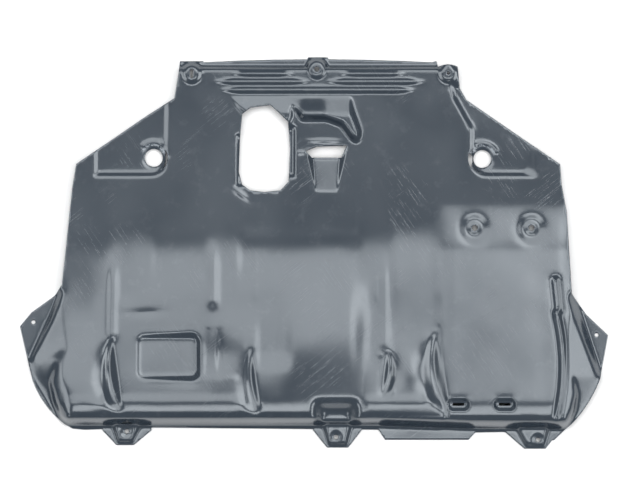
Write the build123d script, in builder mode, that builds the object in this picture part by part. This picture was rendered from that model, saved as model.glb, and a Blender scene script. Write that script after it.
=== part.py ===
from build123d import *
import math
import os

os.makedirs("parts", exist_ok=True)

# Engine splash shield: one sheet of plastic, formed over a mould and trimmed.
# X runs to the right and Y to the front edge, seen from the outer side, which faces +Z.
# The sheet lies on the underside of its rim, at Z = 0.
# Each form below is drawn once and made twice, for the outer face and, moved in by the
# wall, for the inner face. The sheet is what lies between the two.

# Sheet
wall = 3.0
lap = 2.0  # how far a form reaches into the one that carries it

# Upper panel and side pads
panel_rise = 10.0
step_draft = 32.0  # from upright, as all drafts here

# Pan, which slopes away from the upper panel to its rear wall
pan_rise = 31.0  # above the upper panel, at the crest
pan_knee_y = 22.0  # where the slope leaves the upper panel
pan_crest = 50.0  # from the rear edge
pan_knee_r = 520.0
pan_crest_r = 90.0
pan_crest_fall = 1.5
pan_draft = 22.0
pan_corner_r = 24.0

# Side band of the pan, with a gentle slope ahead of the steeper one
band_x = 229.0
band_extra = 4.0  # how far it stands above the pan beside it
band_knee_y = 88.0
band_crease_y = 6.0
band_gentle_rise = 3.5
band_knee_r = 60.0
band_crease_r = 150.0
band_rear = 22.0  # from the rear edge to where the band rounds over
band_rear_r = 26.0
band_rear_fall = 60.0

# Shoulders: beyond its hinge lines the pan turns down towards the ears and corners
shoulder_tilt = 21.0
shoulder_hinges = [((-449.0, -60.0), (-432.0, -268.0)), ((458.0, -120.0), (441.0, -255.0))]
corner_starts = [(-461.0, -193.0), (466.0, -218.0)]  # where the walls round the pan's corners begin
corner_fall = 13.0  # of the corners, towards the rear

# Groove along the right hinge line
groove_ends = [(434.0, -54.0), (416.0, -291.0)]
groove_bow = (444.5, -165.5)
groove_width = 16.0
groove_depth = 8.0
groove_draft = 34.0

# Trimmed outline
lip_y = 343.0
lip_bow = 5.5
lip_left_x = -199.0
lip_right_x = 212.0
neck_left_x = -243.0
neck_right_x = 262.0
neck_y = 284.0
wing_left = (-427.0, 160.0)
wing_right = (442.0, 159.5)
flank_left = (-434.5, 115.0)
waist_left = (-452.5, -57.0)
waist_right = (462.0, -72.0)
ear_tip_left = (-529.0, -132.0)
ear_tip_right = (529.0, -148.0)
rear_y = -318.0
left_heel_lead = 88.0  # of the heels, ahead of the rear edge
right_heel_lead = 97.0
heel_left = (-506.0, rear_y + left_heel_lead)
heel_right = (515.5, rear_y + right_heel_lead)
lobe_y = rear_y - 18.0
lobe_left_x = 128.0
lobe_right_x = 278.0

# Rear fixing tabs: hole positions and the tabs' ends
tab_holes = [(-336.5, rear_y - 2.5), (39.5, rear_y - 13.0), (402.5, rear_y - 18.0)]
tab_ends = [rear_y - 27.5, rear_y - 32.0, rear_y - 34.0]
tab_sides = [  # root and end of the left side, end and root of the right side, from the hole
    (-44.0, -19.0, 12.0, 44.0),
    (-41.0, -16.0, 22.0, 46.0),
    (-62.0, -24.0, 14.0, 40.0),
]
tab_margin = 5.0
tab_pad_rise = 7.0
tab_dimple_r = 13.0
tab_dimple_depth = 4.0
tab_hole_r = 4.0
tab_notch_width = 84.0  # the recess in the rear wall ahead of the middle tab
tab_notch = 56.0  # how far it reaches in from the rear edge
tab_notch_depth = 24.0
tab_notch_draft = 38.0

# Ear fixing holes
ear_holes = [(-505.0, -124.5), (508.5, -147.5)]
ear_hole_r = 3.5

# Front bosses: left with an upright slot, middle with a hole, right with a small hole
front_bosses = [(-219.5, 322.0), (5.0, 330.0), (241.0, 323.0)]
front_boss_r = 21.0
front_boss_rise = 4.0
front_boss_draft = 25.0
front_slot_length = 16.0
front_slot_width = 6.0
front_hole_r = 4.5
front_small_hole_r = 2.5
front_tab_y = 352.0  # the short tab that carries the middle boss
front_tab_width = 48.0

# Stiffening beads across the front: middle, length
beads = [
    ((-92.0, 322.0), 124.0),
    ((105.0, 322.0), 130.0),
    ((-92.0, 308.0), 176.0),
    ((110.0, 308.0), 180.0),
    ((7.5, 293.0), 356.0),
]
bead_width = 11.0
bead_rise = 4.0
bead_draft = 45.0
bead_point = 34.0

# Wings, pressed in beside the upper panel
wing_depth = 5.0
wing_step_y = 137.0
wing_left_x = (-396.0, -263.0)
wing_right_x = (280.0, 398.0)
wing_corner_r = 30.0
wing_draft = 60.0

# Round openings in the wings
round_openings = [(-288.0, 171.0), (302.5, 169.0)]
round_opening_r = 16.0
round_collar = 5.0
round_collar_depth = 3.0
round_bead_r = 29.0
round_bead_width = 7.0
round_bead_rise = 2.5
round_bead_starts = [52.0, 28.0]
round_bead_sweep = 80.0

# Large opening
opening_mid = (-89.0, 187.5)
opening_width = 92.0
opening_length = 156.0
opening_flanges = [  # beside the opening, pressed in: side, reach, middle y, length
    (-1, 5.0, 166.0, 94.0),
    (1, 10.0, 182.0, 92.0),
]
opening_flange_depth = 5.0
opening_flange_draft = 42.0

# Hood ahead of the vent: a low strip along the large opening, and a wedge with a tail
hood_rise = 11.0
hood_draft = 36.0
hood_front_y = 281.0
hood_ridge_y = 248.0
hood_left_x = -46.0
hood_right_x = 86.0
strip_rise = 6.0
strip_draft = 50.0
strip_left_x = -152.0
vent_front_y = 192.0
vent_rear_y = 171.0
vent_left_x = -14.5
vent_right_x = 59.0
louver_rise = 10.0
louver_end_y = 110.0
louver_end_width = 38.0
louver_draft = 42.0

# Lens-shaped walls, where neighbouring bands of the pan part: deepest at x, fading out at fade_x
lens_walls = [
    # x, fade_x, y, length, depth
    (-350.0, -500.0, -214.0, 146.0, 13.0),
    (-178.0, -122.0, -180.0, 72.0, 6.0),
    (-102.0, -160.0, -228.0, 144.0, 9.0),
    (125.0, 195.0, -211.0, 90.0, 9.0),
    (228.0, 158.0, -208.0, 154.0, 13.0),
]
lens_draft = 54.0

# Patch pressed into the pan, deeper to the right
patch_mid = (-262.0, -186.0)
patch_width = 112.0
patch_length = 80.0
patch_left_depth = 2.0
patch_right_depth = 8.0
patch_draft = 40.0
patch_corner_r = 10.0

# Two fixing bosses in the side band, each a hollow cone in a broad dimple
fixing_bosses = [(288.5, 45.0), (390.5, 45.0)]
fixing_dimple_r = 28.0
fixing_dimple_depth = 6.0
fixing_cone_r = 14.0
fixing_cone_rise = 5.0
fixing_cone_draft = 40.0
fixing_hole_r = 5.0

# Two slotted pockets near the rear wall
slot_pockets = [(258.0, rear_y + 48.0), (340.5, rear_y + 48.0)]
pocket_length = 38.0
pocket_width = 20.0
pocket_corner = 6.0
pocket_depth = 8.0
pocket_draft = 18.0
slot_length = 21.0
slot_width = 4.6

pan_crest_y = rear_y + pan_crest
tab_notch_y = rear_y + tab_notch
rim_level = wall
panel_level = rim_level + panel_rise
wing_level = panel_level - wing_depth
crest_level = panel_level + pan_rise
band_level = panel_level + band_gentle_rise / 2  # about the fixing bosses
pocket_level = crest_level + band_extra  # about the slotted pockets
form_floor = -20.0
form_top = crest_level + 60.0
half_span = ear_tip_right[0] + 60.0
pan_slope = math.atan(pan_rise / (pan_knee_y - pan_crest_y))
band_steep_rise = pan_rise + band_extra - band_gentle_rise
band_slope = math.atan(band_steep_rise / (band_crease_y - pan_crest_y))


def foot_shift(drop, draft):
    """How far a drafted wall's foot moves in when its face moves in by drop."""
    return drop * math.tan(math.radians(45.0 - draft / 2.0))


def run(height, draft):
    """How far a drafted wall runs sideways over a height."""
    return height * math.tan(math.radians(draft))


def cone_draft(outer_r, inner_r, height):
    """Draft of a cone that runs from one radius to another over a height."""
    return math.degrees(math.atan((outer_r - inner_r) / height))


def pan_level(y):
    """Level of the pan's slope at y."""
    return panel_level + (pan_knee_y - y) * math.tan(pan_slope)


def band_slope_level(y):
    """Level of the side band's steeper slope at y."""
    return crest_level + band_extra - (y - pan_crest_y) * math.tan(band_slope)


def shoulder_plane(number, drop):
    """The plane that the pan turns down to beyond a hinge line, left 0 or right 1."""
    slope_level = (pan_level, band_slope_level)[number]
    ends = [Vector(x, y, slope_level(y)) for x, y in shoulder_hinges[number]]
    outward = Vector(2 * number - 1, 0, -math.tan(math.radians(shoulder_tilt)))
    normal = (ends[1] - ends[0]).cross(outward).normalized()
    if normal.Z < 0:
        normal = -normal
    return Plane(origin=ends[0] - normal * drop, z_dir=normal)


def corner_plane(number, drop):
    """The plane of the corner outside the pan's wall: it leaves the shoulder and falls to the rear."""
    x, y = corner_starts[number]
    shoulder = shoulder_plane(number, 0)
    away = Vector(x, y, 0) - shoulder.origin
    slope = shoulder.z_dir
    level = -(slope.X * away.X + slope.Y * away.Y) / slope.Z + shoulder.origin.Z
    outward = (2 * number - 1) * math.tan(math.radians(shoulder_tilt))
    normal = Vector(outward, -math.tan(math.radians(corner_fall)), 1).normalized()
    return Plane(origin=Vector(x, y, level) - normal * drop, z_dir=normal)


def pad(outline, foot, top, draft, drop, mode=Mode.ADD):
    """A pad with drafted walls, from its outline at the level foot to the level top."""
    with BuildSketch(Plane.XY.offset(foot - drop - lap)) as base:
        add(outline)
        offset(amount=run(lap, draft) - foot_shift(drop, draft), kind=Kind.INTERSECTION)
    return extrude(base.sketch, amount=top - foot + lap, taper=draft, mode=mode)


def pocket(outline, mouth, depth, draft, drop):
    """A pocket with drafted walls, from its outline at the level mouth down by depth."""
    with BuildSketch(Plane.XY.offset(mouth - drop + lap)) as opening:
        add(outline)
        offset(amount=run(lap, draft) + foot_shift(drop, draft), kind=Kind.INTERSECTION)
    return extrude(opening.sketch, amount=-(depth + lap), taper=draft, mode=Mode.SUBTRACT)


# The blank, as trimmed
with BuildSketch() as blank:
    with BuildLine():
        ThreePointArc((lip_left_x, lip_y), (0, lip_y + lip_bow), (lip_right_x, lip_y))
        Polyline(
            (lip_right_x, lip_y),
            (lip_right_x + 8, lip_y + 2.5),
            (lip_right_x + 11, lip_y - 8),
        )
        ThreePointArc(
            (lip_right_x + 11, lip_y - 8),
            (front_bosses[2][0], lip_y - 4.5),
            (neck_right_x - 4, lip_y - 8),
        )
        Polyline(
            (neck_right_x - 4, lip_y - 8),
            (neck_right_x, neck_y + 12),
            (neck_right_x + 12, neck_y - 9),
            wing_right,
            (wing_right[0] + 3, wing_right[1] - 37),
            (wing_right[0] + 12, wing_right[1] - 86),
            waist_right,
            (waist_right[0] + 28, waist_right[1] - 39),
            ear_tip_right,
            heel_right,
        )
        right_heel = ThreePointArc(
            heel_right,
            (heel_right[0] - 20, heel_right[1] - 43),
            (heel_right[0] - 60, rear_y + 4),
        )
        rear = Polyline(
            right_heel @ 1,
            (heel_right[0] - 84, rear_y - 19),
            (tab_holes[2][0] + tab_sides[2][0], rear_y - 4),
            (lobe_right_x + 12, rear_y - 5),
            (lobe_right_x, lobe_y),
            (lobe_left_x, lobe_y),
            (lobe_left_x - 12, rear_y),
            (tab_holes[0][0] + 48, rear_y + 4),
            (tab_holes[0][0] - 76, rear_y),
            (heel_left[0] + 72, rear_y + 2),
            (heel_left[0] + 58, rear_y + 10),
        )
        ThreePointArc(rear @ 1, (heel_left[0] + 24, heel_left[1] - 44), heel_left)
        Polyline(
            heel_left,
            (heel_left[0] - 10, heel_left[1] + 42),
            ear_tip_left,
            (ear_tip_left[0] + 21, ear_tip_left[1] + 25),
            (waist_left[0] - 14, waist_left[1] - 20),
            waist_left,
            flank_left,
            wing_left,
            (neck_left_x - 60, neck_y - 39),
            (neck_left_x - 8, neck_y - 6),
            (neck_left_x, neck_y + 40),
            (neck_left_x + 2, lip_y + 2),
            (lip_left_x, lip_y + 2),
            (lip_left_x, lip_y),
        )
    make_face()
    for (hole_x, _), (left_root, left_end, right_end, right_root), end_y in zip(
        tab_holes, tab_sides, tab_ends
    ):
        with Locations((hole_x, 0)):
            Polygon(
                (left_root, rear_y + 10),
                (left_root, rear_y - 1),
                (left_end, end_y),
                (right_end, end_y),
                (right_root, rear_y - 1),
                (right_root, rear_y + 10),
                align=None,
            )
    with Locations((front_bosses[1][0] + 2, front_tab_y)):
        Trapezoid(front_tab_width, front_tab_width / 4, 60, align=(Align.CENTER, Align.MAX))

# Foot of the upper panel and shoulders at the rim; beyond the blank it runs on
with BuildSketch() as panel_foot:
    with BuildLine():
        Polyline(
            (-half_span, lip_y - 7),
            (-half_span, waist_left[1] - 14),
            (waist_left[0] - 10, waist_left[1] - 14),
            (ear_tip_left[0] + 49, ear_tip_left[1] + 11),
            (heel_left[0] - 8, heel_left[1] + 34),
            (-half_span, heel_left[1] + 34),
            (-half_span, rear_y - 12),
            (corner_starts[0][0] + 7, rear_y - 12),
            (corner_starts[0][0] + 22, rear_y + 14),
            (corner_starts[1][0] - 25, rear_y + 14),
            (corner_starts[1][0] + 30, rear_y - 30),
            (half_span, heel_right[1] - 3),
            (heel_right[0] + 2, heel_right[1] + 3),
            (waist_right[0] + 9, waist_right[1] - 6),
            (half_span, waist_right[1] - 6),
            (half_span, lip_y - 7),
            close=True,
        )
    make_face()

with BuildSketch() as left_panel_foot:
    add(panel_foot.sketch)
    with Locations((fixing_bosses[0][0], 0)):
        Rectangle(2 * half_span, 2 * half_span, align=(Align.MAX, Align.CENTER), mode=Mode.INTERSECT)

with BuildSketch() as right_panel_foot:
    add(panel_foot.sketch)
    with Locations((fixing_bosses[0][0] - 2 * lap, 0)):
        Rectangle(2 * half_span, 2 * half_span, align=(Align.MIN, Align.CENTER), mode=Mode.INTERSECT)

# Foot of the pan at the rim
with BuildSketch() as pan_foot:
    with BuildLine():
        Polyline(
            (-half_span, wing_step_y - 20),
            (-half_span, waist_left[1] + 22),
            (waist_left[0] + 7, waist_left[1] + 22),
            (corner_starts[0][0] - 8, corner_starts[0][1] + 8),
            (corner_starts[0][0] - 18, corner_starts[0][1] - 39),
            (corner_starts[0][0] - 10, corner_starts[0][1] - 72),
            (corner_starts[0][0] + 8, rear_y + 8),
            (lobe_left_x - 20, rear_y + 8),
            (lobe_right_x, rear_y + 2),
            (corner_starts[1][0] - 4, rear_y + 1),
            (corner_starts[1][0] + 9, corner_starts[1][1] - 66),
            (corner_starts[1][0] + 15, corner_starts[1][1] - 34),
            (corner_starts[1][0] + 10, corner_starts[1][1] + 8),
            (waist_right[0] - 8, waist_right[1] + 15),
            (half_span, waist_right[1] + 15),
            (half_span, wing_step_y - 20),
            close=True,
        )
    make_face()
    rear_corners = pan_foot.vertices().filter_by_position(Axis.Y, rear_y, rear_y + 10)
    fillet([rear_corners.sort_by(Axis.X)[0], rear_corners.sort_by(Axis.X)[-1]], pan_corner_r)

with BuildSketch() as left_pan_foot:
    add(pan_foot.sketch)
    with Locations((band_x + 40, 0)):
        Rectangle(2 * half_span, 2 * half_span, align=(Align.MAX, Align.CENTER), mode=Mode.INTERSECT)

with BuildSketch() as band_foot:
    add(pan_foot.sketch)
    with Locations((band_x - run(pan_rise, pan_draft), 0)):
        Rectangle(2 * half_span, 2 * half_span, align=(Align.MIN, Align.CENTER), mode=Mode.INTERSECT)

# Lowered wings; beyond the blank they run on
with BuildSketch() as wings:
    with BuildLine():
        Polyline(
            (wing_left_x[0], wing_step_y),
            (wing_left_x[1], wing_step_y),
            (wing_left_x[1] + 3, neck_y + 20),
            (wing_left_x[0], neck_y + 20),
            close=True,
        )
    make_face()
    with BuildLine():
        Polyline(
            (wing_right_x[1], wing_step_y),
            (wing_right_x[0], wing_step_y),
            (wing_right_x[0], wing_step_y + 84),
            (wing_right_x[0] - 32, neck_y - 5),
            (wing_right_x[0] - 38, neck_y + 22),
            (wing_right_x[1], neck_y + 22),
            close=True,
        )
    make_face()
    fillet(
        [
            corner
            for corner in wings.vertices()
            if corner.Y < wing_step_y + 1 and wing_left_x[0] + 1 < corner.X < wing_right_x[1] - 1
        ],
        wing_corner_r,
    )

with BuildSketch() as bead_outlines:
    for middle, length in beads:
        with Locations(middle):
            Polygon(
                (-length / 2, 0),
                (-length / 2 + bead_point, bead_width / 2),
                (length / 2 - bead_point, bead_width / 2),
                (length / 2, 0),
                (length / 2 - bead_point, -bead_width / 2),
                (-length / 2 + bead_point, -bead_width / 2),
                align=None,
            )

with BuildSketch() as tab_pads:
    for (hole_x, _), (left_root, left_end, right_end, right_root), end_y in zip(
        tab_holes, tab_sides, tab_ends
    ):
        with Locations((hole_x, 0)):
            Polygon(
                (left_root + 3 * tab_margin, rear_y + 16),
                (left_end + tab_margin / 2, end_y + tab_margin),
                (right_end - tab_margin / 2, end_y + tab_margin),
                (right_root - 3 * tab_margin, rear_y + 16),
                align=None,
            )

with BuildSketch() as notch_mouth:
    with Locations((tab_holes[1][0], tab_notch_y)):
        Rectangle(tab_notch_width, 2 * (tab_notch_y - rear_y), align=(Align.CENTER, Align.MAX))

with BuildSketch() as large_opening:
    with Locations(opening_mid):
        Polygon(
            (-opening_width * 0.43, opening_length * 0.40),
            (-opening_width * 0.26, opening_length * 0.47),
            (opening_width * 0.12, opening_length / 2),
            (opening_width * 0.46, opening_length * 0.31),
            (opening_width / 2, 0),
            (opening_width * 0.47, -opening_length * 0.38),
            (opening_width * 0.31, -opening_length * 0.48),
            (0, -opening_length / 2),
            (-opening_width * 0.28, -opening_length * 0.48),
            (-opening_width * 0.44, -opening_length * 0.41),
            (-opening_width / 2, -opening_length * 0.27),
            (-opening_width * 0.48, opening_length * 0.1),
            align=None,
        )

with BuildSketch() as flange_mouths:
    for side, reach, middle_y, length in opening_flanges:
        with Locations((opening_mid[0] + side * (opening_width / 2 + reach), middle_y)):
            Rectangle(
                opening_width / 2,
                length,
                align=(Align.MIN if side < 0 else Align.MAX, Align.CENTER),
            )

with BuildSketch() as wedge_foot:
    with BuildLine():
        Polyline(
            (hood_left_x, hood_front_y - 7),
            (hood_left_x + 23, hood_ridge_y - 10),
            (hood_right_x - 64, hood_ridge_y - 10),
            (hood_right_x - 38, hood_ridge_y - 20),
            (hood_right_x - 22, hood_ridge_y - 42),
            (hood_right_x - 12, hood_ridge_y - 50),
            (hood_right_x - 2, hood_ridge_y - 44),
            (hood_right_x, hood_ridge_y - 30),
            (hood_right_x - 13, hood_ridge_y + 6),
            (hood_right_x - 22, hood_front_y + 4),
            (hood_left_x - 4, hood_front_y + 4),
            close=True,
        )
    make_face()

with BuildSketch() as strip_foot:
    with BuildLine():
        Polyline(
            (strip_left_x, hood_front_y + 4),
            (strip_left_x + 14, hood_front_y - 20),
            (strip_left_x + 44, hood_front_y - 50),
            (hood_left_x + 4, hood_front_y - 50),
            (hood_left_x + 10, hood_front_y - 36),
            (hood_left_x + 10, hood_front_y + 4),
            close=True,
        )
    make_face()

with BuildSketch() as vent:
    with BuildLine():
        Polyline(
            (vent_left_x, vent_front_y - 9),
            (vent_left_x + 20, vent_front_y - 1),
            (vent_right_x, vent_front_y + 1),
            (vent_right_x - 3, vent_front_y - 5),
            (vent_right_x - 10, vent_rear_y),
            (vent_left_x + 11, vent_rear_y),
            close=True,
        )
    make_face()


with BuildSketch() as round_beads:
    for position, start_angle in zip(round_openings, round_bead_starts):
        bead_arc = CenterArc(position, round_bead_r, start_angle, round_bead_sweep, mode=Mode.PRIVATE)
        SlotArc(bead_arc, round_bead_width)

with BuildSketch() as pocket_outlines:
    with Locations(*slot_pockets):
        Rectangle(pocket_length, pocket_width)
    chamfer(pocket_outlines.vertices(), pocket_corner)


def round_outline(position, radius):
    """A round outline at position."""
    with BuildSketch() as outline:
        with Locations(position):
            Circle(radius)
    return outline.sketch


def slope_section(bends, radii, end_level, drop):
    """Section of a slope that runs from the upper panel, bends at (y, level) and ends past the rear."""
    start_y = wing_step_y - 20
    end_y = rear_y - 60
    with BuildSketch(Plane.YZ) as section:
        with BuildLine():
            top = FilletPolyline(
                (start_y, panel_level - drop),
                *((y, level - drop) for y, level in bends),
                (end_y, end_level - drop),
                radius=radii,
            )
            Polyline(top @ 1, (end_y, 2 * form_floor), (start_y, 2 * form_floor), top @ 0)
        make_face()
    return section.sketch


def pan_solid(foot, section, draft, drop):
    """The pan over its drafted foot, under the slope of its section and under the shoulders."""
    with BuildPart() as pan:
        pad(foot, rim_level, crest_level + 2 * band_extra, draft, drop)
        extrude(section, amount=half_span, both=True, mode=Mode.INTERSECT)
        for number in range(2):
            split(bisect_by=shoulder_plane(number, drop), keep=Keep.BOTTOM)
    return pan.part


def panel_solid(pan_section, band_section, drop):
    """The upper panel with the shoulders behind it, cut down at the corners."""
    with BuildPart() as panel:
        add(pan_solid(left_panel_foot.sketch, pan_section, step_draft, drop))
        add(pan_solid(right_panel_foot.sketch, band_section, step_draft, drop))
        pad(panel_foot.sketch, rim_level, panel_level, step_draft, drop)
        for number in range(2):
            split(bisect_by=corner_plane(number, drop), keep=Keep.BOTTOM)
    return panel.part


def ramp_solid(foot, start_y, low_y, high_y, rise, draft, drop):
    """A raised form that climbs from the upper panel at low_y to its height at high_y and start_y."""
    with BuildSketch(Plane.YZ) as section:
        with BuildLine():
            Polyline(
                (start_y, panel_level + rise - drop),
                (high_y, panel_level + rise - drop),
                (low_y, panel_level - drop),
                (low_y, form_floor),
                (start_y, form_floor),
                close=True,
            )
        make_face()
    with BuildPart() as ramp:
        pad(foot, panel_level, panel_level + rise + lap, draft, drop)
        extrude(section.sketch, amount=half_span, both=True, mode=Mode.INTERSECT)
    return ramp.part


def louver_foot():
    """Foot of the louver behind the vent, narrower at its rear end."""
    middle_x = (vent_left_x + vent_right_x) / 2
    mouth_width = vent_right_x - vent_left_x
    with BuildSketch() as foot:
        with BuildLine():
            Polyline(
                (middle_x - mouth_width / 2, vent_front_y - 6),
                (middle_x - louver_end_width / 2, louver_end_y),
                (middle_x + louver_end_width / 2, louver_end_y),
                (middle_x + mouth_width / 2, vent_front_y - 6),
                close=True,
            )
        make_face()
    return foot.sketch


def groove_cutter(drop):
    """What is taken from the side band along its hinge line: a groove that follows the slope."""
    (x, y), (end_x, end_y) = groove_ends
    groove_plane = Plane(
        origin=(0, y, band_slope_level(y) - groove_depth - drop),
        x_dir=(1, 0, 0),
        z_dir=(0, math.sin(band_slope), math.cos(band_slope)),
    )
    floor_width = groove_width - 2 * run(groove_depth, groove_draft) + 2 * foot_shift(drop, groove_draft)
    with BuildPart() as groove:
        with BuildSketch(groove_plane):
            path = ThreePointArc(
                (x, 0), (groove_bow[0], groove_bow[1] - y), (end_x, end_y - y), mode=Mode.PRIVATE
            )
            SlotArc(path, floor_width)
        extrude(amount=2 * groove_depth, taper=-groove_draft)
    return groove.part


def lens_cutter(x, fade_x, y, length, depth, drop):
    """What is taken from the pan beside a lens-shaped wall: a flat cone that fades out sideways."""
    side = math.copysign(1, fade_x - x)
    fade = abs(fade_x - x)
    cone_r = (length**2 / 4 + depth**2) / (2 * depth)
    lead = depth  # the cone starts this far behind the drafted wall
    rise = cone_r - depth
    centre = Vector(x, y + rise * math.sin(pan_slope), pan_level(y) + rise * math.cos(pan_slope))
    start = centre - Vector(side * lead, 0, 0)
    with BuildPart(Plane(origin=start, z_dir=(side, 0, 0))) as cutter:
        Cone(
            bottom_radius=cone_r + depth * lead / fade + drop,
            top_radius=cone_r - depth * 1.2 + drop,
            height=lead + 1.2 * fade,
            align=(Align.CENTER, Align.CENTER, Align.MIN),
        )
        draft = math.radians(lens_draft)
        wall_normal = Vector(side * math.cos(draft), 0, math.sin(draft))
        wall_point = Vector(x, y, pan_level(y)) - wall_normal * drop
        split(bisect_by=Plane(origin=wall_point, z_dir=wall_normal), keep=Keep.TOP)
    return cutter.part


def patch_cutter(drop):
    """What is taken from the pan at the patch: a tilted tray, deeper to the right."""
    tilt = math.atan((patch_right_depth - patch_left_depth) / patch_width)
    depth = (patch_left_depth + patch_right_depth) / 2
    mid_level = pan_level(patch_mid[1])
    patch_plane = Plane(
        origin=(*patch_mid, mid_level - depth - drop),
        x_dir=(math.cos(tilt), 0, -math.sin(tilt)),
        z_dir=(math.sin(tilt), math.sin(pan_slope), math.cos(pan_slope)),
    )
    grow = foot_shift(drop, patch_draft) - run(depth, patch_draft)
    with BuildPart() as tray:
        with BuildSketch(patch_plane) as floor:
            RectangleRounded(patch_width + 2 * grow, patch_length + 2 * grow, patch_corner_r)
        extrude(amount=4 * patch_right_depth, taper=-patch_draft)
    return tray.part


def formed_solid(drop):
    """The solid under the sheet's outer face, with that face moved in by drop."""
    pan_section = slope_section(
        [(pan_knee_y, panel_level), (pan_crest_y, crest_level)],
        [pan_knee_r, pan_crest_r],
        crest_level - pan_crest_fall,
        drop,
    )
    band_section = slope_section(
        [
            (band_knee_y, panel_level),
            (band_crease_y, panel_level + band_gentle_rise),
            (pan_crest_y, crest_level + band_extra),
            (rear_y + band_rear, crest_level + band_extra),
        ],
        [band_knee_r, band_crease_r, pan_crest_r, band_rear_r],
        crest_level - band_rear_fall,
        drop,
    )
    with BuildPart() as form:
        # Rim
        with Locations((0, 0, rim_level - drop)):
            Box(
                2 * half_span,
                2 * half_span,
                rim_level - form_floor,
                align=(Align.CENTER, Align.CENTER, Align.MAX),
            )
        # Upper panel, shoulders and pan
        add(panel_solid(pan_section, band_section, drop))
        add(pan_solid(left_pan_foot.sketch, pan_section, pan_draft, drop))
        add(pan_solid(band_foot.sketch, band_section, pan_draft, drop))
        # Raised forms
        for ramp in (
            (wedge_foot.sketch, vent_front_y, hood_front_y, hood_ridge_y, hood_rise, hood_draft),
            (strip_foot.sketch, vent_front_y, hood_front_y, hood_ridge_y + 6, strip_rise, strip_draft),
            (louver_foot(), vent_front_y, louver_end_y, vent_rear_y, louver_rise, louver_draft),
        ):
            add(ramp_solid(*ramp, drop))
        pad(bead_outlines.sketch, panel_level, panel_level + bead_rise, bead_draft, drop)
        for position in front_bosses:
            boss_foot = round_outline(position, front_boss_r)
            pad(boss_foot, rim_level, panel_level + front_boss_rise, front_boss_draft, drop)
        pad(tab_pads.sketch, rim_level, rim_level + tab_pad_rise, step_draft, drop)
        # Forms pressed in
        pocket(wings.sketch, panel_level, wing_depth, wing_draft, drop)
        pocket(flange_mouths.sketch, panel_level, opening_flange_depth, opening_flange_draft, drop)
        pocket(notch_mouth.sketch, crest_level + lap, tab_notch_depth, tab_notch_draft, drop)
        add(groove_cutter(drop), mode=Mode.SUBTRACT)
        for lens in lens_walls:
            add(lens_cutter(*lens, drop), mode=Mode.SUBTRACT)
        add(patch_cutter(drop), mode=Mode.SUBTRACT)
        # The cones round the holes narrow to less than the hole, or run into the next cone
        for position in tab_holes:
            mouth = round_outline(position, tab_dimple_r)
            draft = cone_draft(tab_dimple_r, tab_hole_r / 2, tab_dimple_depth)
            pocket(mouth, rim_level + tab_pad_rise, tab_dimple_depth, draft, drop)
        for position in fixing_bosses:
            floor = band_level - fixing_dimple_depth
            mouth = round_outline(position, fixing_dimple_r)
            draft = cone_draft(fixing_dimple_r, fixing_cone_r - lap, fixing_dimple_depth)
            pocket(mouth, band_level, fixing_dimple_depth, draft, drop)
            cone_foot = round_outline(position, fixing_cone_r)
            pad(cone_foot, floor, floor + fixing_cone_rise, fixing_cone_draft, drop)
        for position in round_openings:
            mouth = round_outline(position, round_opening_r + round_collar)
            draft = cone_draft(round_opening_r + round_collar, round_opening_r - lap, round_collar_depth)
            pocket(mouth, wing_level, round_collar_depth, draft, drop)
        pad(round_beads.sketch, wing_level, wing_level + round_bead_rise, bead_draft, drop)
        pocket(pocket_outlines.sketch, pocket_level, pocket_depth, pocket_draft, drop)
    return form.part


# Everything that is cut through the sheet
with BuildSketch() as openings:
    add(large_opening.sketch)
    add(vent.sketch)
    with Locations(*round_openings):
        Circle(round_opening_r)
    with Locations(*tab_holes):
        Circle(tab_hole_r)
    with Locations(*ear_holes):
        Circle(ear_hole_r)
    with Locations(*fixing_bosses):
        Circle(fixing_hole_r)
    with Locations(*slot_pockets):
        SlotOverall(slot_length, slot_width)
    with Locations(front_bosses[0]):
        SlotOverall(front_slot_length, front_slot_width, rotation=90)
    with Locations(front_bosses[1]):
        Circle(front_hole_r)
    with Locations(front_bosses[2]):
        Circle(front_small_hole_r)

with BuildPart() as splash_shield:
    add(formed_solid(0))
    add(formed_solid(wall), mode=Mode.SUBTRACT)
    extrude(blank.sketch, amount=form_top, both=True, mode=Mode.INTERSECT)
    extrude(openings.sketch, amount=form_top, both=True, mode=Mode.SUBTRACT)

splash_shield.part.label = "splash_shield"
export_step(splash_shield.part, "parts/splash_shield.step")
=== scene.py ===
import math

import bpy
import numpy as np
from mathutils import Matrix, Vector
from mathutils.bvhtree import BVHTree
from mathutils.geometry import delaunay_2d_cdt


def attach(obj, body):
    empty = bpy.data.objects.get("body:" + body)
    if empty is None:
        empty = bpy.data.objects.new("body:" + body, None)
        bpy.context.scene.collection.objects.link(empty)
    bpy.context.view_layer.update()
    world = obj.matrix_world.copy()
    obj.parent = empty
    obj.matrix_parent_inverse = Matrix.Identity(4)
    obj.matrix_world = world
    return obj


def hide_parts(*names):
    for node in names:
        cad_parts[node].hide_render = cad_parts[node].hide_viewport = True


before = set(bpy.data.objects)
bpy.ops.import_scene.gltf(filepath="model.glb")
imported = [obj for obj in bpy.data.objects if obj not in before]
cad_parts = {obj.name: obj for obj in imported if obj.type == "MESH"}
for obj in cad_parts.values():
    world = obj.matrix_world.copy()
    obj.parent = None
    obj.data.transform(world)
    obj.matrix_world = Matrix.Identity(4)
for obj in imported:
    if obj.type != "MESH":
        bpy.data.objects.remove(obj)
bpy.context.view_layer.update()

MM_PER_METRE = 1000.0

# Photograph: how its pixels lie on the rim's plane
PHOTO_WIDTH = 640
PHOTO_HEIGHT = 480
MM_PER_PIXEL = 1.8
ORIGIN_PIXEL = (314.0, 253.0)  # the pixel over the frame's origin
CAMERA_HEIGHT = 5000.0  # mm above the floor
SENSOR_WIDTH = 36.0  # mm

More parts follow.
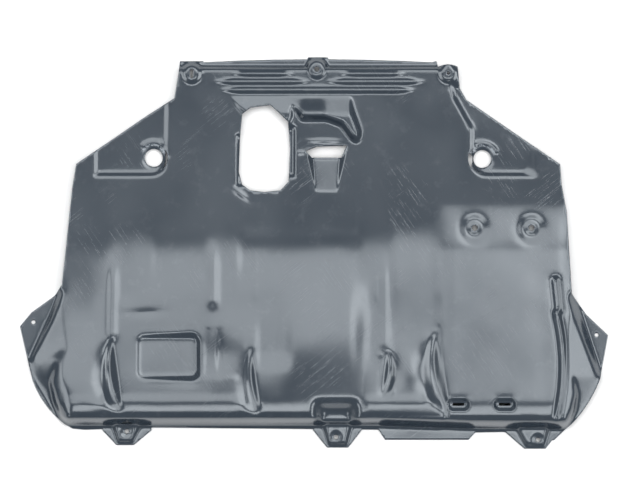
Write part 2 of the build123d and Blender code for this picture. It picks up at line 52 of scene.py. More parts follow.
# Light: lamps far above, each between two slopes along Y and two along X as seen from the sheet
LAMP_HEIGHT = 20.0  # metres
LAMP_GAP = 0.05  # each lamp hangs lower than the one before, because lamps in one plane hide each other
AMBIENT = 0.26
AMBIENT_TONE = (0.95, 0.98, 1.0, 1.0)
# Name, slopes from and to along Y and along X, radiance
LAMPS = [
    ("key", (0.125, 0.92), (-0.6, 0.55), 2.65),
    ("key_streak", (0.1, 0.5), (0.11, 0.45), 1.6),
    ("rear", (-0.3, -0.075), (-0.3, 0.3), 3.8),
    ("side_left", (-0.8, 0.45), (-1.4, -0.68), 2.8),
    ("side_right", (-0.8, 0.45), (0.68, 1.4), 3.6),
]

# Floor, in mm
FLOOR_SIDE = 9000.0
FLOOR_Z = -0.3
FLOOR_TONE = (0.96, 0.96, 0.96, 1.0)
FLOOR_ROUGHNESS = 0.9

# Fine mesh of the sheet, in mm
PITCH = 2.2  # of the height grid
MARGIN = 6  # cells of the grid past each side of the sheet
RAY_START = 50.0  # how far from the sheet the rays start that read its faces
REACHES = (1, 2, 8, 40)  # blurs that carry the heights past the edges, in pitches
LEAST_REACHED = 1e-3  # weight from which such a blur counts
BLURS = (1.5, 3.0, 6.0, 11.0, 20.0)  # one for each whole step of softness, from 0
LEAST_WALL = 2.4
EDGE_ROUND = 0.5  # of the trimmed edge
LOOP_STEP = 3.0  # between the points of the trimmed edge
LEAST_LOOP = 8.0  # length that a hole has at least
LEAST_CORNERS = 6  # points that a hole has at least
LEAST_UP = 0.05  # least Z of the normal of a face that looks up
POINT_DIGITS = 3  # to which points of the CAD mesh are rounded, to tell which are one
LEAST_SPREAD = 0.5  # limits how far a sharp corner moves when the edge is drawn in
BLOCK = 4  # cells along the side of a block that may take one point
BENDS = {4: 0.0045, 2: 0.027}  # curvature, per mm, under which a block of 4 or 2 cells takes one point
INSIDE_ONLY = 1  # kind of triangulation: only triangles inside the given edges
NEAR = 1e-4  # points of the triangulation that are nearer than this are one
TINY = 1e-6  # keeps a division from zero

# Bands of the sheet that rise earlier or later: pixels x0, x1, y where the rise starts, peaks and
# ends, rise in mm, softness of the sides in mm
BANDS = {
    "dark_patch": (289, 360, 262, 338, 432, 7.0, 20.0),
    "left_of_dark_patch": (250, 289, 350, 372, 432, 2.6, 14.0),
    "middle_knee": (240, 362, 222, 256, 292, -1.5, 9.0),
    "far_left": (52, 102, 222, 312, 400, -5.6, 30.0),
    "left_of_left_lens": (96, 113, 222, 276, 330, -1.0, 10.0),
    "ahead_of_recess": (154, 206, 222, 258, 300, -1.2, 10.0),
    "side_band": (446, 566, 205, 249, 395, 3.0, 14.0),
    "hood": (301, 324, 96, 114, 119, 2.8, 9.0),
    "right_of_recess": (213, 258, 300, 345, 415, 1.5, 8.0),
    "right_of_dark_patch": (366, 440, 300, 400, 424, 1.6, 8.0),
    "ahead_of_right_lens": (392, 440, 216, 270, 335, 1.6, 7.0),
    "left_crest": (62, 244, 392, 401, 419, 0.9, 8.0),
    "middle_crest": (366, 440, 392, 401, 419, 0.9, 8.0),
    "right_crest": (446, 556, 402, 418, 424, -0.8, 8.0),
}
# Ridges and creases that run down the pan: pixel x, y from and to, width and rise in mm
RIDGES = {
    "left_streak": (113.2, 250, 338, 6.0, 2.2),
    "left_dip": (127.0, 232, 300, 9.0, -0.7),
    "middle_streak": (213.5, 236, 306, 6.5, 1.9),
    "right_streak": (384.5, 250, 349, 6.0, 1.3),
    "left_crease": (255.5, 205, 300, 2.2, 0.3),
    "middle_crease": (355.0, 180, 232, 2.2, 0.3),
    "right_crease": (376.0, 255, 300, 2.5, 0.4),
}
RIDGE_FRONT = 60  # mm over which a ridge sets in
RIDGE_REAR = 12  # mm on each side of its rear end over which it fades out
# Small marks: pixel x and y, half width and half length in mm, turn in radians, rise in mm
SPOTS = {
    "ahead_of_vent": (324.0, 141.0, 17.0, 2.0, 0.0, 1.1),
    "corner_of_service_opening": (241.0, 194.0, 11.0, 3.2, -0.65, 1.4),
    "ahead_of_recess": (146.0, 312.0, 22.0, 4.0, 0.05, -0.6),
    "left_of_vent": (301.0, 153.0, 5.0, 2.4, 0.1, 0.8),
    "beside_short_lens": (380.0, 354.0, 3.2, 3.2, 0.0, 0.5),
    "right_of_recess": (220.0, 350.0, 4.4, 22.0, 0.0, -2.3),
}
# Front end of the long groove: pixels along its middle, half width and depth in mm
GROOVE_PIXELS = [(554.5, 281.0), (556.0, 296.0), (557.2, 309.5)]
GROOVE_WIDTH = 5.4
GROOVE_DEPTH = 5.4
# Slight waviness of a formed sheet: rise in mm, seed, lengths along X and Y in mm, count of waves
WAVES = [(0.22, 3, 260.0, 300.0, 9), (0.05, 5, 60.0, 90.0, 12)]

# Lens-shaped pockets of the pan, in mm: x of the wall, x where its cut fades out, y, length, depth,
# and how wide the pocket stays, beyond which the pan is made up again
LENSES = {
    "left": (-350.0, -500.0, -214.0, 146.0, 13.0, 34.0),
    "middle_left": (-102.0, -160.0, -228.0, 144.0, 9.0, 28.0),
    "short": (125.0, 195.0, -211.0, 90.0, 9.0, 22.0),
    "right": (228.0, 158.0, -208.0, 154.0, 13.0, 38.0),
}
LENS_TIP = 4  # mm that a pocket is wide at its ends
FILL_FROM = 0.45  # shares of a pocket's width between which the pan comes back
FILL_TO = 1.1

# How soft the forms are: pixels x0, y0, x1, y1, step of BLURS, softness of the sides in mm. A later
# zone lies over the earlier ones
SOFT_ZONES = {
    "pan": (62, 195, 443, 416, 2.0, 10.0),
    "left_lens_fade": (75, 330, 106, 404, 3.0, 12.0),
    "middle_left_lens_fade": (229, 322, 246, 404, 2.6, 8.0),
    "right_lens_fade": (394, 320, 422, 404, 2.8, 8.0),
    "left_lens_wall": (105, 335, 125, 410, 1.0, 4.0),
    "recess": (136, 328, 204, 382, 0.8, 4.0),
    "right_of_recess": (206, 326, 243, 376, 3.6, 6.0),
    "middle_left_lens_wall": (245, 345, 263, 420, 1.2, 4.0),
    "short_lens": (381, 347, 394, 394, 1.0, 4.0),
    "right_lens_wall": (424, 325, 450, 412, 1.2, 4.0),
    "ahead_of_crest": (62, 402, 440, 414, 1.8, 4.0),
    "crest": (60, 416, 440, 430, 1.0, 4.0),
    "side_band": (448, 196, 560, 418, 1.3, 6.0),
    "cone_bosses": (455, 208, 553, 246, 1.6, 6.0),
    "rear_slots": (446, 396, 518, 414, 0.0, 3.0),
    "groove": (535, 276, 572, 420, 1.0, 5.0),
    "left_shoulder": (20, 290, 62, 432, 1.2, 5.0),
    "right_shoulder": (572, 290, 610, 440, 1.0, 5.0),
    "left_wing_step": (76, 160, 165, 188, 0.5, 4.0),
    "right_wing_step": (488, 162, 560, 188, 0.5, 4.0),
    "left_wing_step_front": (160, 98, 174, 158, 1.6, 4.0),
    "right_wing_step_end": (524, 142, 542, 176, 1.8, 4.0),
    "right_wing_step_front": (466, 122, 479, 158, 1.0, 3.0),
    "beads": (205, 72, 436, 97, 0.2, 3.0),
    "left_boss": (182, 60, 206, 90, 1.0, 3.0),
    "right_boss": (436, 62, 462, 92, 1.0, 3.0),
    "middle_boss": (304, 58, 330, 90, 0.6, 3.0),
    "left_lip": (200, 60, 306, 70, 0.0, 6.0),
    "right_lip": (328, 60, 440, 70, 0.0, 6.0),
    "left_flange": (233, 128, 245, 194, 0.5, 3.0),
    "right_flange": (286, 124, 300, 184, 0.5, 3.0),
    "hood": (325, 96, 362, 144, 1.2, 4.0),
    "front_of_service_opening": (228, 92, 362, 144, 0.7, 4.0),
}
BASE_SOFTNESS = 0.3  # outside all zones

# Plastic: linear colours, and the settings of its surface
DARK_TONE = (0.022, 0.032, 0.046)
LIGHT_TONE = (0.030, 0.041, 0.056)
DUST_TONE = (0.05, 0.052, 0.055)
SCRATCH_TONE = (0.024, 0.025, 0.027)
RUBBED_TONE = (0.2, 0.22, 0.24)
SHEEN_TINT = (0.9, 0.96, 1.0, 1.0)
SHEEN_LEVEL = 1.0
REFRACTION = 1.55
LEAST_ROUGHNESS = 0.14
MOST_ROUGHNESS = 0.19
BUMP_STRENGTH = 0.12
BUMP_DISTANCE = 0.0004  # metres
STREAK_STRETCH = (1.0, 0.12, 1.0)  # scale of the coordinates that draws a noise out along Y
# Two fields of scratches: how thin they are, turn in radians, noise value of a scratch
SCRATCHES = [(40.0, -0.6, 0.6), (50.0, 0.9, 0.61)]
# Worn arcs ahead of the round openings: pixel of the middle and radius in mm
RUBBED = [(153.0, 156.5, 21.0), (483.0, 157.0, 21.0)]
# Strength of such an arc over the distance from its middle, where 0.5 is the radius
ARC_STOPS = [(0.43, 0.0), (0.48, 1.0), (0.52, 1.0), (0.57, 0.0)]
# Sockets of the mix node when it mixes colours
MIX_FACTOR = 0
MIX_FIRST = 6
MIX_SECOND = 7
MIX_RESULT = 2


def photo_to_mm(px, py):
    """The point of the rim's plane that a pixel of the photograph shows, in mm."""
    return (px - ORIGIN_PIXEL[0]) * MM_PER_PIXEL, (ORIGIN_PIXEL[1] - py) * MM_PER_PIXEL


def grid_line(start, end):
    """Coordinates of the height grid along one axis, for a sheet from start to end."""
    return start - MARGIN * PITCH + PITCH * np.arange(int((end - start) / PITCH) + 2 * MARGIN + 1)


# Heights of the sheet's two faces, read from the CAD node on a grid
cad_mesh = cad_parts["splash_shield"].data
cad_points = [v.co * MM_PER_METRE for v in cad_mesh.vertices]
cad_tree = BVHTree.FromPolygons(cad_points, [tuple(p.vertices) for p in cad_mesh.polygons])
low = Vector(min(p[axis] for p in cad_points) for axis in range(3))
high = Vector(max(p[axis] for p in cad_points) for axis in range(3))
grid_x = grid_line(low.x, high.x)
grid_y = grid_line(low.y, high.y)
mesh_x, mesh_y = np.meshgrid(grid_x, grid_y)


def face_heights(start, direction):
    """Height of the first face met from start, on the grid, with NaN where there is none."""
    heights = np.full(mesh_x.shape, np.nan)
    ray = Vector((0, 0, direction))
    for row, y in enumerate(grid_y):
        for column, x in enumerate(grid_x):
            hit = cad_tree.ray_cast(Vector((x, y, start)), ray)[0]
            if hit is not None:
                heights[row, column] = hit.z
    return heights


def blur_rows(values, sigma_cells):
    """Gaussian blur along the last axis."""
    reach = max(1, int(math.ceil(3 * sigma_cells)))
    steps = np.arange(-reach, reach + 1)
    kernel = np.exp(-0.5 * (steps / sigma_cells) ** 2)
    kernel /= kernel.sum()
    padded = np.pad(values, ((0, 0), (reach, reach)), mode="edge")
    result = np.zeros_like(values)
    for shift, weight in enumerate(kernel):
        result += weight * padded[:, shift:shift + values.shape[1]]
    return result


def blur(values, sigma):
    """Gaussian blur of a grid by sigma in mm."""
    cells = sigma / PITCH
    return blur_rows(blur_rows(values, cells).T.copy(), cells).T.copy()


def extend(heights):
    """Heights carried past the sheet's edges, so that a point on an edge can be read."""
    known = ~np.isnan(heights)
    filled = np.where(known, heights, 0.0)
    result = heights.copy()
    for pitches in REACHES:
        sigma = pitches * PITCH
        weight = blur(known.astype(float), sigma)
        wide = blur(filled, sigma) / np.maximum(weight, TINY)
        result = np.where(np.isnan(result) & (weight > LEAST_REACHED), wide, result)
    return np.where(np.isnan(result), np.nanmean(heights), result)


def soft_spot(x, y, width, length, turn):
    """A smooth spot from 1 at its middle to 0, over the grid."""
    cos_turn = math.cos(turn)
    sin_turn = math.sin(turn)
    along = (mesh_x - x) * cos_turn + (mesh_y - y) * sin_turn
    across = -(mesh_x - x) * sin_turn + (mesh_y - y) * cos_turn
    return np.exp(-0.5 * ((along / width) ** 2 + (across / length) ** 2))


def soft_step(values, start, end):
    """Smooth step from 0 at start to 1 at end."""
    t = np.clip((values - start) / (end - start), 0, 1)
    return t * t * (3 - 2 * t)


def soft_band(values, start, end, side):
    """1 between start and end, with soft sides."""
    return soft_step(values, start - side, start + side) * (1 - soft_step(values, end - side, end + side))


def path_distance(points):
    """How far each point of the grid lies from an open path, in mm."""
    nearest = np.full(mesh_x.shape, np.inf)
    for (x0, y0), (x1, y1) in zip(points, points[1:]):
        length = math.hypot(x1 - x0, y1 - y0)
        along = ((mesh_x - x0) * (x1 - x0) + (mesh_y - y0) * (y1 - y0)) / length**2
        along = np.clip(along, 0, 1)
        from_x = mesh_x - x0 - along * (x1 - x0)
        from_y = mesh_y - y0 - along * (y1 - y0)
        nearest = np.minimum(nearest, np.hypot(from_x, from_y))
    return nearest


def waves(seed, length_x, length_y, count):
    """Gentle random waves over the grid, of about unit height."""
    chance = np.random.default_rng(seed)
    total = np.zeros_like(mesh_x)
    for _ in range(count):
        turns_x = chance.normal() / length_x
        turns_y = chance.normal() / length_y
        start = chance.uniform(0, 2 * math.pi)
        total += np.sin(2 * math.pi * (turns_x * mesh_x + turns_y * mesh_y) + start)
    return total / math.sqrt(count)


def shape_extras():
    """Small forms of the moulding that the heights get besides the CAD node's own."""
    extra = np.zeros_like(mesh_x)
    for x0, x1, y_start, y_peak, y_end, rise, side in BANDS.values():
        left, start = photo_to_mm(x0, y_start)
        right, peak = photo_to_mm(x1, y_peak)
        end = photo_to_mm(x0, y_end)[1]
        across = soft_band(mesh_x, left, right, side)
        extra += rise * across * (1 - soft_step(mesh_y, peak, start)) * soft_step(mesh_y, end, peak)
    for px, y_front, y_rear, width, rise in RIDGES.values():
        x, front = photo_to_mm(px, y_front)
        rear = photo_to_mm(px, y_rear)[1]
        along = soft_step(mesh_y, rear - RIDGE_REAR, rear + RIDGE_REAR)
        along = along * (1 - soft_step(mesh_y, front - RIDGE_FRONT, front))
        extra += rise * along * np.exp(-0.5 * ((mesh_x - x) / width) ** 2)
    for px, py, width, length, turn, rise in SPOTS.values():
        extra += rise * soft_spot(*photo_to_mm(px, py), width, length, turn)
    groove = path_distance([photo_to_mm(*pixel) for pixel in GROOVE_PIXELS])
    extra -= GROOVE_DEPTH * np.exp(-0.5 * (groove / GROOVE_WIDTH) ** 2)
    for rise, seed, length_x, length_y, count in WAVES:
        extra += rise * waves(seed, length_x, length_y, count)
    return extra


def lens_fill():
    """What the pan gets back beside the lens-shaped pockets."""
    fill = np.zeros_like(mesh_x)
    for x, fade_x, y, length, depth, width in LENSES.values():
        toward = (mesh_x - x) / (fade_x - x)
        radius = (length**2 / 4 + depth**2) / (2 * depth)
        cut = np.maximum(depth * (1 - toward) - (mesh_y - y) ** 2 / (2 * radius), 0)
        taper = np.maximum(1 - (2 * (mesh_y - y) / length) ** 2, 0)
        reach = np.maximum(toward, 0) * abs(fade_x - x) / (width * taper + LENS_TIP)
        fill += np.where((toward > 0) & (toward < 1), cut * soft_step(reach, FILL_FROM, FILL_TO), 0)
    return fill


def softness_map():
    """How soft the forms are over the grid, in steps of BLURS."""
    softness = np.full_like(mesh_x, BASE_SOFTNESS)
    for x0, y0, x1, y1, step, side in SOFT_ZONES.values():
        left, front = photo_to_mm(x0, y0)
        right, rear = photo_to_mm(x1, y1)
        share = soft_band(mesh_x, left, right, side) * soft_band(mesh_y, rear, front, side)
        softness = softness * (1 - share) + step * share
    return softness


def softened(heights, softness):
    """Heights blurred by the softness map, which says between which two blurs each place lies."""
    blurred = [blur(heights, sigma) for sigma in BLURS]
    smooth = blurred[0]
    for step, softer in enumerate(blurred[1:]):
        share = np.clip(softness - step, 0, 1)
        smooth = smooth * (1 - share) + softer * share
    return smooth


def final_faces():
    """The outer and inner heights, softened as in a formed sheet, and where the sheet is."""
    outer = face_heights(high.z + RAY_START, -1)
    inner = face_heights(low.z - RAY_START, 1)
    known = ~np.isnan(outer) & ~np.isnan(inner)
    softness = softness_map()
    extra = shape_extras()
    fill = lens_fill()
    outer = softened(extend(np.where(known, outer, np.nan) + fill), softness) + extra
    inner = softened(extend(np.where(known, inner, np.nan) + fill), softness) + extra
    inner = np.maximum(inner, 0.0)
    outer = np.minimum(np.maximum(outer, inner + LEAST_WALL), high.z)
    inner = np.minimum(inner, outer - LEAST_WALL)
    return outer, inner, known


outer_face, inner_face, on_sheet = final_faces()


def read_grid(values, points):
    """Bilinear reading of a grid at (n, 2) points."""
    across = (points[:, 0] - grid_x[0]) / PITCH
    along = (points[:, 1] - grid_y[0]) / PITCH
    column = np.clip(np.floor(across).astype(int), 0, len(grid_x) - 2)
    row = np.clip(np.floor(along).astype(int), 0, len(grid_y) - 2)
    across = across - column
    along = along - row
    return (
        values[row, column] * (1 - across) * (1 - along)
        + values[row, column + 1] * across * (1 - along)
        + values[row + 1, column] * (1 - across) * along
        + values[row + 1, column + 1] * across * along
    )


def cad_corner(index):
    """A vertex of the CAD mesh in mm, rounded, so that vertices at one place are alike."""
    return tuple(round(c * MM_PER_METRE, POINT_DIGITS) for c in cad_mesh.vertices[index].co)


def trimmed_loops():
    """The outline and the holes, as closed loops of (x, y) in mm, each with the sheet on its left."""
    open_edges = {}  # a dictionary keeps its keys in order
    for polygon in cad_mesh.polygons:
        if polygon.normal.z < LEAST_UP:
            continue
        corners = [cad_corner(index) for index in polygon.vertices]
        for a, b in zip(corners, corners[1:] + corners[:1]):
            if open_edges.pop((b, a), None) is None:
                open_edges[(a, b)] = True
    follow = {}
    for a, b in open_edges:
        follow.setdefault(a, []).append(b)
    loops = []
    while follow:
        start = next(iter(follow))
        loop = [start]
        here = start
        while here in follow:
            there = follow[here].pop()
            if not follow[here]:
                del follow[here]
            here = there
            if here == start:
                break
            loop.append(here)
        points = np.array([p[:2] for p in loop])
        if len(points) >= LEAST_CORNERS and loop_length(points) > LEAST_LOOP:
            loops.append(points)
    return loops


def loop_length(points):
    """Length of a closed loop."""
    return float(np.linalg.norm(points - np.roll(points, -1, axis=0), axis=1).sum())


def loop_area(points):
    """Signed area of a closed loop."""
    after = np.roll(points, -1, axis=0)
    return 0.5 * float((points[:, 0] * after[:, 1] - after[:, 0] * points[:, 1]).sum())


def stepped(points, step):
    """The loop with its long stretches divided, and points nearer than a tenth of step joined."""
    near = 0.1 * step
    kept = [points[0]]
    for point in points[1:]:
        if np.linalg.norm(point - kept[-1]) > near:
            kept.append(point)
    if np.linalg.norm(kept[0] - kept[-1]) < near:
        kept.pop()
    result = []
    for a, b in zip(kept, kept[1:] + kept[:1]):
        count = max(1, int(round(np.linalg.norm(b - a) / step)))
        for k in range(count):
            result.append(a + (b - a) * k / count)
    return np.array(result)


def left_of(steps):
    """Unit vectors to the left of the steps."""
    steps = steps / np.linalg.norm(steps, axis=1)[:, None]
    return np.stack([-steps[:, 1], steps[:, 0]], axis=1)


def drawn_in(points, distance):
    """The loop moved towards the sheet, which is on its left."""
    left_before = left_of(points - np.roll(points, 1, axis=0))
    left_after = left_of(np.roll(points, -1, axis=0) - points)
    middle = left_before + left_after
    middle /= np.maximum(np.linalg.norm(middle, axis=1), TINY)[:, None]
    spread = np.clip((middle * left_before).sum(axis=1), LEAST_SPREAD, 1.0)
    return points + middle * (distance / spread)[:, None]


def inside_loop(points, loop):
    """Which of the points lie inside a closed loop."""
    result = np.zeros(len(points), dtype=bool)
    x = points[:, 0]
    y = points[:, 1]
    for a, b in zip(loop, np.roll(loop, -1, axis=0)):
        crosses = (a[1] > y) != (b[1] > y)
        if crosses.any():
            at = a[0] + (y - a[1]) * (b[0] - a[0]) / (b[1] - a[1])
            result ^= crosses & (x < at)
    return result


def within(points, rings):
    """Which of the points lie inside the first ring and outside the others."""
    result = inside_loop(points, rings[0])
    for hole in rings[1:]:
        result &= ~inside_loop(points, hole)
    return result


def bend_map():
    """The stronger curvature of the two faces over the grid, per mm."""
    bend = np.zeros_like(outer_face)
    for face in (outer_face, inner_face):
        across = np.abs(face[1:-1, 2:] - 2 * face[1:-1, 1:-1] + face[1:-1, :-2])
        along = np.abs(face[2:, 1:-1] - 2 * face[1:-1, 1:-1] + face[:-2, 1:-1])
        turned = np.abs(face[2:, 2:] - face[2:, :-2] - face[:-2, 2:] + face[:-2, :-2]) / 4
        bend[1:-1, 1:-1] = np.maximum.reduce([bend[1:-1, 1:-1], across, along, turned])
    return bend / PITCH**2


def block_points(row, column, size, bend, clear):
    """One point for a block of cells that is flat enough, and else those of its four quarters."""
    block = (slice(row, row + size), slice(column, column + size))
    if not clear[block].any():
        return []
    if size == 1 or (clear[block].all() and bend[block].max() < BENDS[size]):
        middle = (size - 1) / 2 * PITCH
        return [(grid_x[column] + middle, grid_y[row] + middle)]
    half = size // 2
    points = []
    for rows_on in (0, half):
        for columns_on in (0, half):
            points += block_points(row + rows_on, column + columns_on, half, bend, clear)
    return points


def inner_points():
    """Points within the sheet: close together where it bends, and wide apart where it is flat."""
    bend = bend_map()
    clear = on_sheet.copy()
    for shift in ((0, 1), (0, -1), (1, 0), (-1, 0)):
        clear &= np.roll(on_sheet, shift, axis=(0, 1))
    points = []
    for row in range(0, len(grid_y) // BLOCK * BLOCK, BLOCK):
        for column in range(0, len(grid_x) // BLOCK * BLOCK, BLOCK):
            points += block_points(row, column, BLOCK, bend, clear)
    return np.array(points)


def ring_edges(rings):
    """The edges of closed rings, as pairs of places in the list of all their points."""
    edges = []
    first = 0
    for ring in rings:
        count = len(ring)
        edges += [(first + k, first + (k + 1) % count) for k in range(count)]
        first += count
    return edges


def triangulated(rings):
    """Points, triangles that look up, and the place of each ring point among the points."""
    inside = inner_points()
    inside = inside[within(inside, rings)]
    given = [Vector(p) for p in np.concatenate([*rings, inside])]
    made = delaunay_2d_cdt(given, ring_edges(rings), [], INSIDE_ONLY, NEAR)
    points = np.array([tuple(p) for p in made[0]])
    triangles = np.array([t for t in made[2] if len(t) == 3])
    triangles = triangles[within(points[triangles].mean(axis=1), rings)]
    a, b, c = (points[triangles[:, k]] for k in range(3))
    turn = (b[:, 0] - a[:, 0]) * (c[:, 1] - a[:, 1]) - (b[:, 1] - a[:, 1]) * (c[:, 0] - a[:, 0])
    triangles[turn < 0] = triangles[turn < 0][:, ::-1]
    place = {}
    for index, sources in enumerate(made[3]):
        for source in sources:
            place[source] = index
    return points, triangles, place


def lifted(points, heights):
    """Points in space from (x, y) and heights."""
    return [(x, y, z) for (x, y), z in zip(points, heights)]


def build_sheet():
    """The fine mesh: both faces, and the trimmed edge with its corners rounded."""
    loops = [stepped(loop, LOOP_STEP) for loop in trimmed_loops()]
    loops.sort(key=lambda loop: -abs(loop_area(loop)))
    points, triangles, place = triangulated([drawn_in(loop, EDGE_ROUND) for loop in loops])
    count = len(points)
    verts = lifted(points, read_grid(outer_face, points))
    verts += lifted(points, read_grid(inner_face, points))
    faces = [tuple(t) for t in triangles]
    faces += [(t[2] + count, t[1] + count, t[0] + count) for t in triangles]
    first = 0
    for loop in loops:
        size = len(loop)
        start = len(verts)
        verts += lifted(loop, read_grid(outer_face, loop) - EDGE_ROUND)
        verts += lifted(loop, read_grid(inner_face, loop) + EDGE_ROUND)
        for k in range(size):
            after = (k + 1) % size
            top_a = place[first + k]
            top_b = place[first + after]
            faces.append((top_b, top_a, start + k, start + after))
            faces.append((start + after, start + k, start + size + k, start + size + after))
            faces.append((start + size + after, start + size + k, top_a + count, top_b + count))
        first += size
    return verts, faces


def mesh_object(name, verts, faces):
    """A smooth-shaded mesh object from points in mm."""
    data = bpy.data.meshes.new(name)
    data.from_pydata([tuple(c / MM_PER_METRE for c in point) for point in verts], [], faces)
    data.validate()
    data.update()
    data.shade_smooth()
    made = bpy.data.objects.new(name, data)
    bpy.context.scene.collection.objects.link(made)
    return made


# Materials
def new_material(name):
    """A node material, its node tree and its output node."""
    material = bpy.data.materials.new(name)
    material.use_nodes = True
    tree = material.node_tree
    tree.nodes.clear()
    return material, tree, tree.nodes.new("ShaderNodeOutputMaterial")


def noise_node(tree, vector, scale, detail, rough=0.5):
    """A noise texture read at vector."""
    noise = tree.nodes.new("ShaderNodeTexNoise")
    noise.inputs["Scale"].default_value = scale
    noise.inputs["Detail"].default_value = detail
    noise.inputs["Roughness"].default_value = rough
    tree.links.new(vector, noise.inputs["Vector"])
    return noise.outputs["Fac"]


def stretched(tree, source, scale, turn=0.0):
    """Coordinates turned about Z, then scaled."""
    turned = tree.nodes.new("ShaderNodeMapping")
    turned.inputs["Rotation"].default_value = (0, 0, turn)
    tree.links.new(source, turned.inputs["Vector"])
    scaled = tree.nodes.new("ShaderNodeMapping")
    scaled.inputs["Scale"].default_value = scale
    tree.links.new(turned.outputs["Vector"], scaled.inputs["Vector"])
    return scaled.outputs["Vector"]


def ramp(tree, source, stops):
    """A colour ramp with (position, grey or colour) stops."""
    node = tree.nodes.new("ShaderNodeValToRGB")
    elements = node.color_ramp.elements
    while len(elements) > 1:
        elements.remove(elements[-1])
    for index, (position, colour) in enumerate(stops):
        if not isinstance(colour, tuple):
            colour = (colour, colour, colour)
        element = elements[0] if index == 0 else elements.new(position)
        element.position = position
        element.color = (*colour, 1.0)
    tree.links.new(source, node.inputs["Fac"])
    return node.outputs["Color"]


def mixed(tree, kind, factor, first, second):
    """Two colours or greys mixed."""
    node = tree.nodes.new("ShaderNodeMix")
    node.data_type = "RGBA"
    node.blend_type = kind
    node.inputs[MIX_FACTOR].default_value = factor
    tree.links.new(first, node.inputs[MIX_FIRST])
    tree.links.new(second, node.inputs[MIX_SECOND])
    return node.outputs[MIX_RESULT]


def math_node(tree, kind, operation, source, value):
    """A math node of a kind, on source and a fixed value."""
    node = tree.nodes.new(kind)
    node.operation = operation
    node.inputs[1].default_value = value
    tree.links.new(source, node.inputs[0])
    return node


def rubbed_arc(tree, source, px, py, radius):
    """1 on a worn arc about a pixel's place, ahead of it, broken up by noise."""
    x, y = photo_to_mm(px, py)
    middle = (x / MM_PER_METRE, y / MM_PER_METRE, 0.0)
    flat = math_node(tree, "ShaderNodeVectorMath", "MULTIPLY", source, (1.0, 1.0, 0.0))
    distance = math_node(tree, "ShaderNodeVectorMath", "DISTANCE", flat.outputs["Vector"], middle)
    diameter = 2 * radius / MM_PER_METRE
    scaled = math_node(tree, "ShaderNodeMath", "MULTIPLY", distance.outputs["Value"], 1 / diameter)
    ring = ramp(tree, scaled.outputs["Value"], ARC_STOPS)
    split = tree.nodes.new("ShaderNodeSeparateXYZ")
    tree.links.new(source, split.inputs["Vector"])
    arc_start = (y + radius / 3) / MM_PER_METRE
    ahead = math_node(tree, "ShaderNodeMath", "GREATER_THAN", split.outputs["Y"], arc_start)
    broken = ramp(tree, noise_node(tree, source, scale=260.0, detail=3.0), [(0.42, 0.0), (0.6, 1.0)])
    kept = mixed(tree, "MULTIPLY", 1.0, ring, ahead.outputs["Value"])
    return mixed(tree, "MULTIPLY", 1.0, kept, broken)


def scratch_field(tree, source, thinness, turn, level):
    """Thin scratches that run one way and break off: 1 on a scratch."""
    narrow = stretched(tree, source, (thinness, 1.3, 1.0), turn)
    lines = noise_node(tree, narrow, scale=9.0, detail=3.0, rough=0.6)
    wide = stretched(tree, source, (2.0, 2.0, 1.0), turn)
    where = noise_node(tree, wide, scale=4.0, detail=1.0)
    thin = ramp(tree, lines, [(level, 0.0), (level + 0.012, 1.0), (level + 0.03, 0.0)])
    kept = ramp(tree, where, [(0.54, 0.0), (0.66, 1.0)])
    return mixed(tree, "MULTIPLY", 1.0, thin, kept)


def plastic_colour(tree, place, marks, rubbed):
    """Two near tones, with dust and with the marks a little lighter."""
    tone = noise_node(tree, stretched(tree, place, (1.0, 0.6, 1.0)), scale=6.0, detail=4.0)
    base = ramp(tree, tone, [(0.3, DARK_TONE), (0.7, LIGHT_TONE)])
    dust = noise_node(tree, place, scale=42.0, detail=6.0, rough=0.65)
    base = mixed(tree, "ADD", 0.5, base, ramp(tree, dust, [(0.55, 0.0), (0.85, DUST_TONE)]))
    base = mixed(tree, "ADD", 1.0, base, ramp(tree, marks, [(0.0, 0.0), (1.0, SCRATCH_TONE)]))
    return mixed(tree, "ADD", 1.0, base, ramp(tree, rubbed, [(0.0, 0.0), (1.0, RUBBED_TONE)]))


def plastic_roughness(tree, place, marks):
    """Faint streaks and clouds, rougher on the marks."""
    streaks = noise_node(tree, stretched(tree, place, STREAK_STRETCH), scale=14.0, detail=1.0)
    cloud = noise_node(tree, place, scale=5.0, detail=3.0)
    rough = mixed(tree, "MIX", 0.7, streaks, cloud)
    rough = ramp(tree, rough, [(0.35, LEAST_ROUGHNESS), (0.65, MOST_ROUGHNESS)])
    return mixed(tree, "ADD", 0.25, rough, marks)


def plastic_bump(tree, place, marks):
    """A fine grain and faint drawn lines, with the marks cut in."""
    grain = noise_node(tree, place, scale=900.0, detail=2.0)
    drawn = noise_node(tree, stretched(tree, place, STREAK_STRETCH), scale=60.0, detail=1.0)
    relief = mixed(tree, "MIX", 0.06, grain, drawn)
    relief = mixed(tree, "SUBTRACT", 0.5, relief, marks)
    bump = tree.nodes.new("ShaderNodeBump")
    bump.inputs["Strength"].default_value = BUMP_STRENGTH
    bump.inputs["Distance"].default_value = BUMP_DISTANCE
    tree.links.new(relief, bump.inputs["Height"])
    return bump.outputs["Normal"]


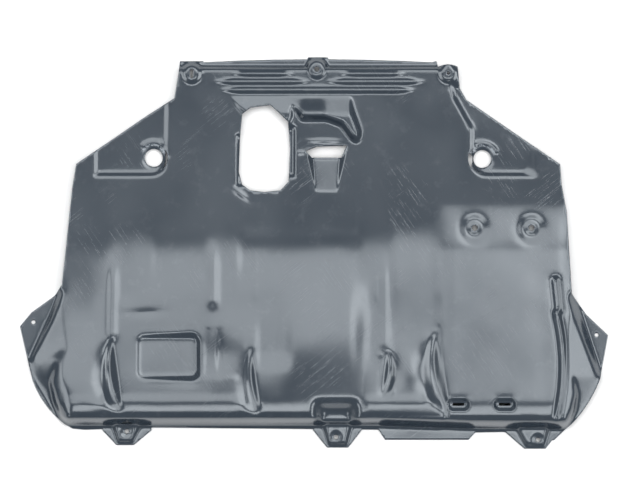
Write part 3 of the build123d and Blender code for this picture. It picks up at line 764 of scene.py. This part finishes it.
def shield_plastic():
    """Dark blue-grey plastic with a soft sheen, faint streaks, dust and fine scratches."""
    material, tree, output = new_material("shield_plastic")
    shader = tree.nodes.new("ShaderNodeBsdfPrincipled")
    place = tree.nodes.new("ShaderNodeTexCoord").outputs["Object"]
    scratches = mixed(tree, "LIGHTEN", 1.0, *(scratch_field(tree, place, *field) for field in SCRATCHES))
    rubbed = mixed(tree, "LIGHTEN", 1.0, *(rubbed_arc(tree, place, *arc) for arc in RUBBED))
    marks = mixed(tree, "LIGHTEN", 1.0, scratches, rubbed)
    tree.links.new(plastic_colour(tree, place, marks, rubbed), shader.inputs["Base Color"])
    tree.links.new(plastic_roughness(tree, place, marks), shader.inputs["Roughness"])
    tree.links.new(plastic_bump(tree, place, marks), shader.inputs["Normal"])
    shader.inputs["Specular IOR Level"].default_value = SHEEN_LEVEL
    shader.inputs["Specular Tint"].default_value = SHEEN_TINT
    shader.inputs["IOR"].default_value = REFRACTION
    tree.links.new(shader.outputs["BSDF"], output.inputs["Surface"])
    return material


def floor_material():
    """Pale, even floor."""
    material, tree, output = new_material("floor_pale")
    shader = tree.nodes.new("ShaderNodeBsdfPrincipled")
    shader.inputs["Base Color"].default_value = FLOOR_TONE
    shader.inputs["Roughness"].default_value = FLOOR_ROUGHNESS
    tree.links.new(shader.outputs["BSDF"], output.inputs["Surface"])
    return material


# Sheet
sheet = mesh_object("splash_shield_sheet", *build_sheet())
sheet.data.materials.append(shield_plastic())
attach(sheet, "root")
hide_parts("splash_shield")


# Stage
def make_floor():
    """A flat floor just below the sheet."""
    half = FLOOR_SIDE / 2
    corners = [(x, y, FLOOR_Z) for x, y in ((-half, -half), (half, -half), (half, half), (-half, half))]
    made = mesh_object("floor", corners, [(0, 1, 2, 3)])
    made.data.materials.append(floor_material())


def distant_lamp(name, slopes_y, slopes_x, radiance, height):
    """A large soft lamp far above, between slopes as seen from the sheet."""
    data = bpy.data.lights.new(name, "AREA")
    data.shape = "RECTANGLE"
    data.size = (slopes_x[1] - slopes_x[0]) * height
    data.size_y = (slopes_y[1] - slopes_y[0]) * height
    data.energy = radiance * math.pi * data.size * data.size_y
    light = bpy.data.objects.new(name, data)
    light.location = (sum(slopes_x) / 2 * height, sum(slopes_y) / 2 * height, height)
    light.visible_camera = False
    bpy.context.scene.collection.objects.link(light)


make_floor()
for place, lamp in enumerate(LAMPS):
    distant_lamp(*lamp, LAMP_HEIGHT - LAMP_GAP * place)

world = bpy.data.worlds.new("studio")
world.use_nodes = True
background = world.node_tree.nodes["Background"]
background.inputs["Color"].default_value = AMBIENT_TONE
background.inputs["Strength"].default_value = AMBIENT
bpy.context.scene.world = world

# Camera, straight over the sheet as in the photograph
camera_data = bpy.data.cameras.new("camera")
camera_data.sensor_width = SENSOR_WIDTH
camera_data.lens = SENSOR_WIDTH * CAMERA_HEIGHT / (PHOTO_WIDTH * MM_PER_PIXEL)
camera = bpy.data.objects.new("camera", camera_data)
view_x, view_y = photo_to_mm(PHOTO_WIDTH / 2, PHOTO_HEIGHT / 2)
camera.location = (view_x / MM_PER_METRE, view_y / MM_PER_METRE, CAMERA_HEIGHT / MM_PER_METRE)
bpy.context.scene.collection.objects.link(camera)
bpy.context.scene.camera = camera
bpy.context.scene.view_settings.view_transform = "Standard"
